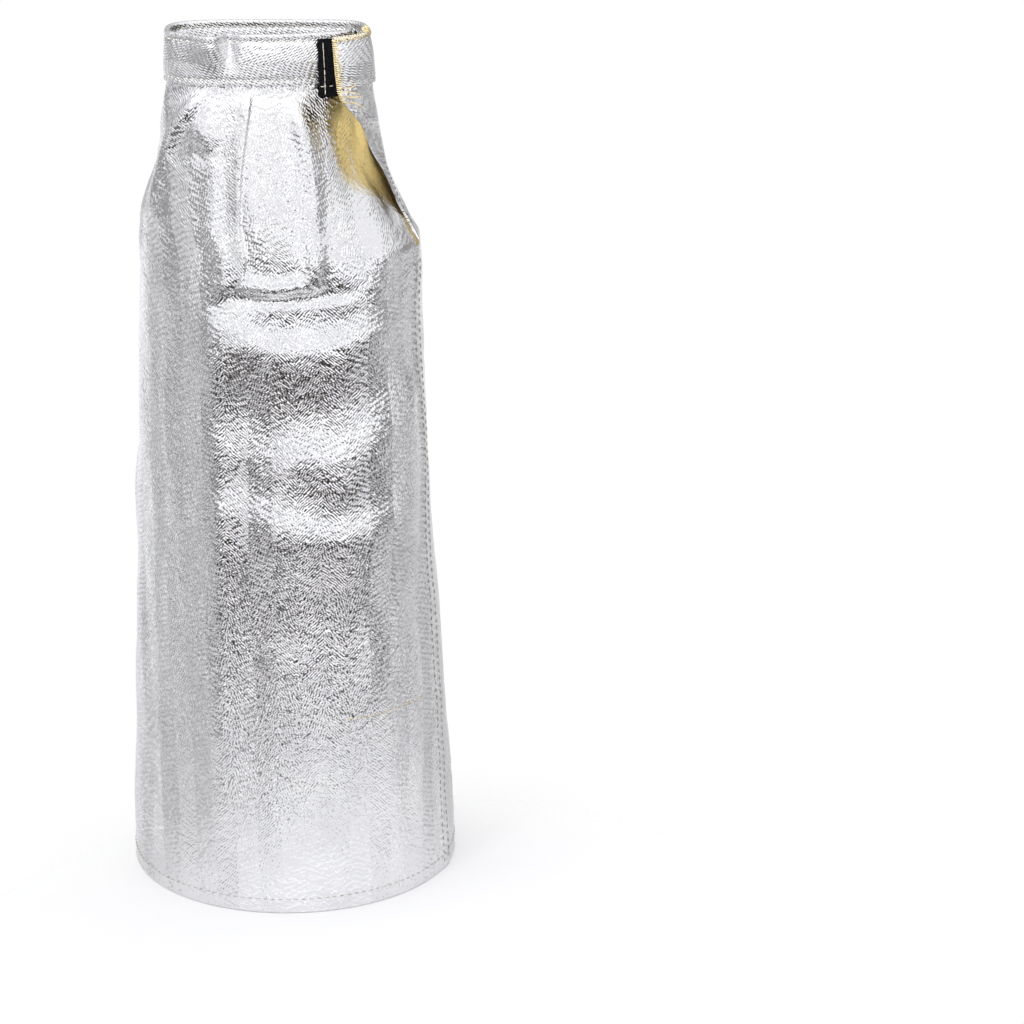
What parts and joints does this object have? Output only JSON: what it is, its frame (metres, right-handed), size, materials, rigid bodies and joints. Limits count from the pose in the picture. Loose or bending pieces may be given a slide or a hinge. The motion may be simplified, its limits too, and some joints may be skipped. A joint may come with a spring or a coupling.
{
  "type": "aluminized forearm sleeve",
  "caption": "Tapered heat-protective forearm sleeve of aluminized twill, standing on its hem, with a pleated wrist, a banded cuff and a hook-and-loop closure over a side vent.",
  "frame": {"origin": "on the surface that the sleeve stands on, under the middle of its bounding box", "axes": "+Z along the sleeve from the hem to the cuff, +X across the cuff toward the vent, the front facing -Y"},
  "size_m": [0.1538, 0.1518, 0.4],
  "materials": {
    "aluminized_cloth": "aluminium foil face on herringbone aramid twill, golden yellow inside",
    "cuff_cloth": "the same aluminized twill folded double, foil face on both sides",
    "loop_tape": "black looped pile",
    "hook_tape": "black nylon hooks",
    "aramid_thread": "spun aramid sewing thread, undyed yellow"
  },
  "bodies": {
    "root": {"sleeve_body": "aluminized_cloth", "cuff_band": "cuff_cloth", "loop_strip": "loop_tape", "hook_strip": "hook_tape"}
  },
  "joints": []
}
